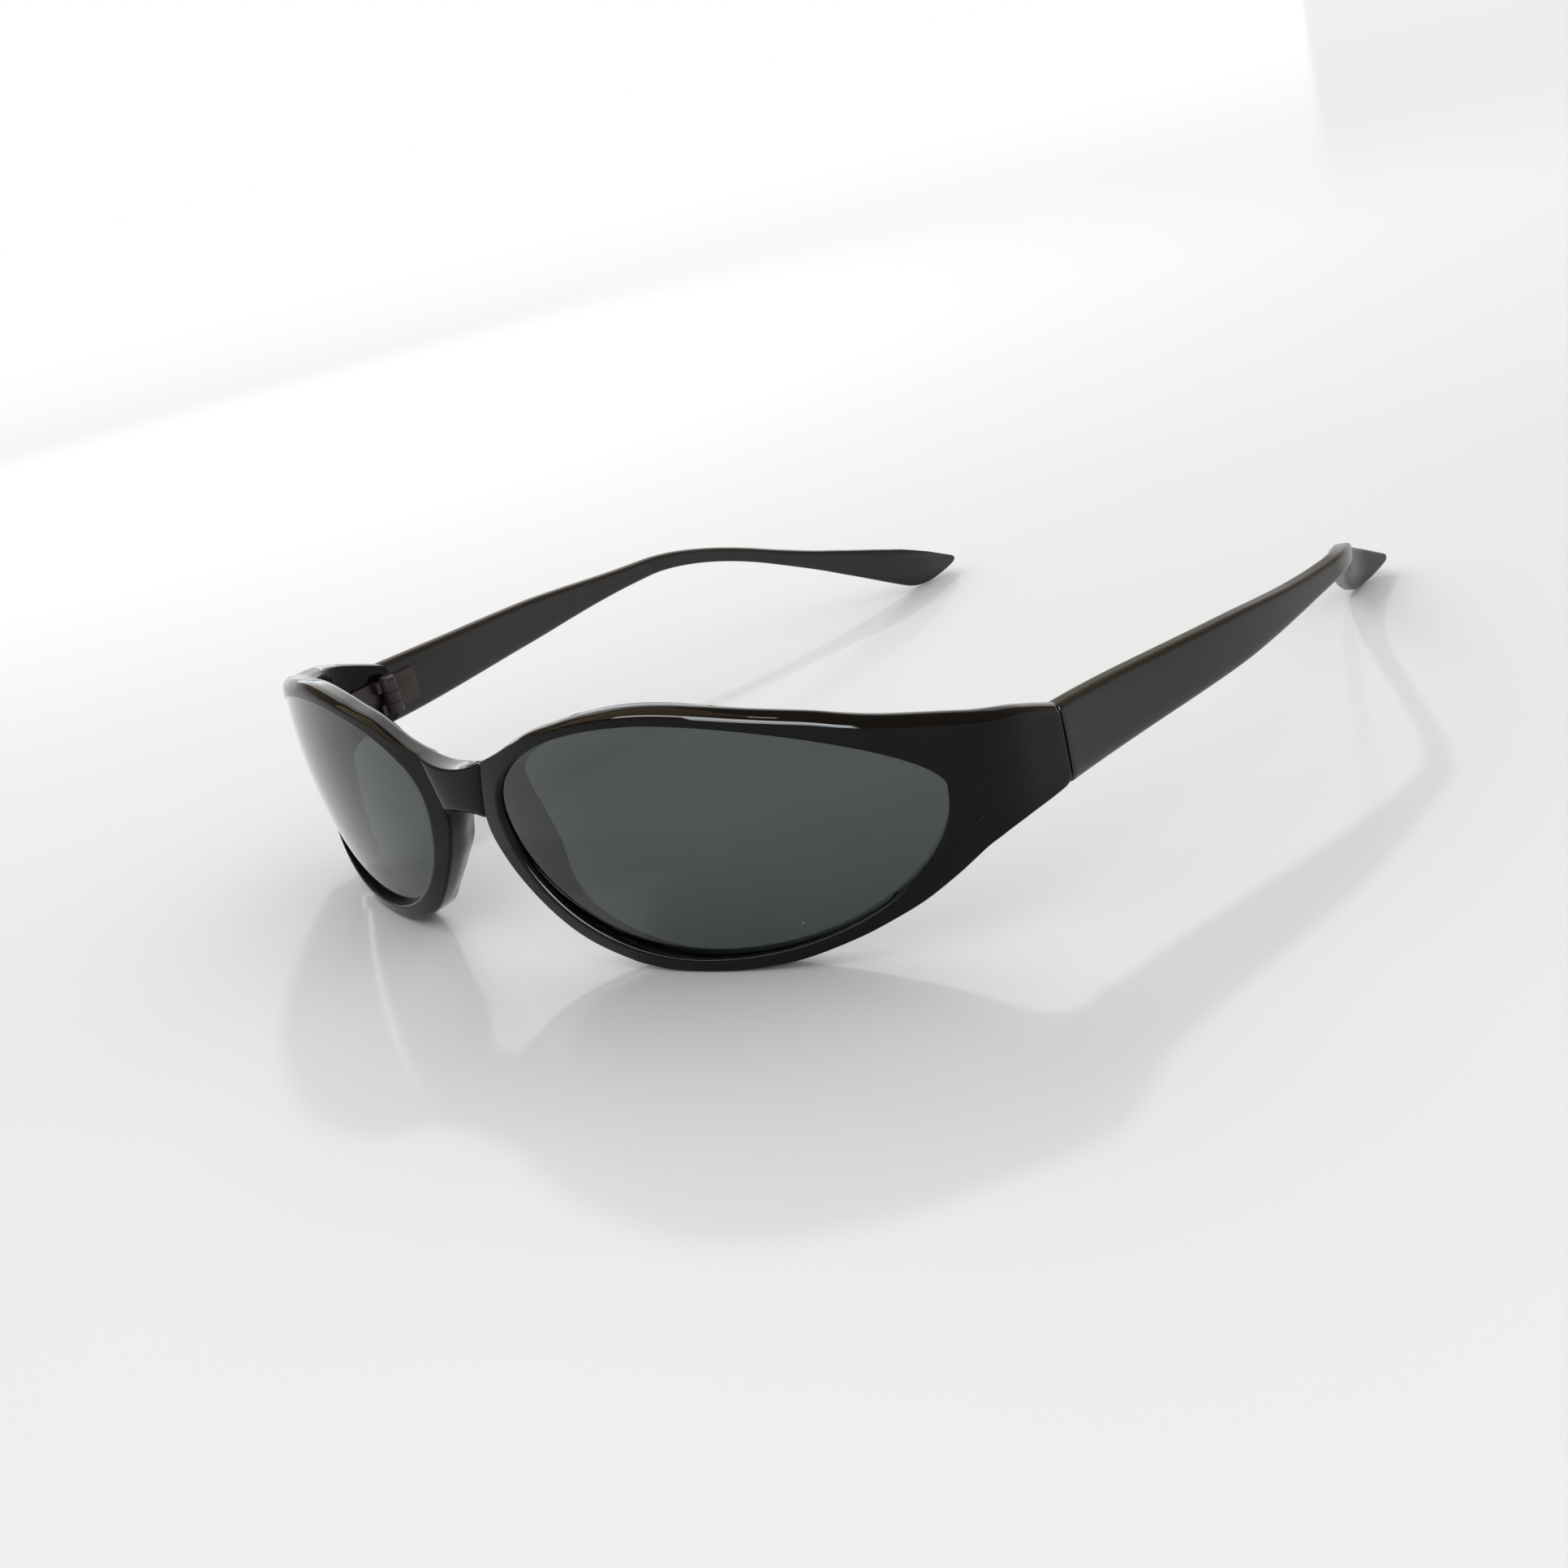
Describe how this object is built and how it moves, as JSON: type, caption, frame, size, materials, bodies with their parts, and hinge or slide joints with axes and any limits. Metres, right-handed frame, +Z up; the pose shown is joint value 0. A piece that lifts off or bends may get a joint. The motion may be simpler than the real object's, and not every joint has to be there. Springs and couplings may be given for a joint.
{
  "type": "sunglasses",
  "caption": "Wrap-around sunglasses with oval tinted lenses, a narrow bridge, moulded nose flanges and folding temples that bend down to a widened flat end.",
  "frame": {"origin": "centre of the bounding box's base, on the surface that the sunglasses stand on, midway between the two temples", "axes": "+Y from the lenses back along the temples, +X to the wearer's left, +Z up"},
  "size_m": [0.1408, 0.1554, 0.035],
  "materials": {
    "frame_plastic": "injection-moulded black plastic, polished and slightly dusty",
    "temple_plastic": "injection-moulded black plastic with a soft satin sheen",
    "lens": "grey-green tinted polycarbonate, smooth and uncoated",
    "hinge_metal": "nickel-plated steel, dull and lightly tarnished"
  },
  "bodies": {
    "front": {"front_frame": "frame_plastic", "lens_left": "lens", "lens_right": "lens", "front_hinge_leaf_left": "hinge_metal", "front_hinge_leaf_right": "hinge_metal", "hinge_screw_left": "hinge_metal", "hinge_screw_right": "hinge_metal"},
    "temple_left": {"temple_left": "temple_plastic", "temple_hinge_leaf_left": "hinge_metal"},
    "temple_right": {"temple_right": "temple_plastic", "temple_hinge_leaf_right": "hinge_metal"}
  },
  "joints": [
    {"name": "hinge_left", "type": "hinge", "parent": "front", "child": "temple_left", "pos_m": [0.063, -0.04114, 0.0193], "axis": [0, 0, 1], "range_deg": [0, 88]},
    {"name": "hinge_right", "type": "hinge", "parent": "front", "child": "temple_right", "pos_m": [-0.063, -0.04114, 0.0193], "axis": [0, 0, -1], "range_deg": [0, 78]}
  ]
}
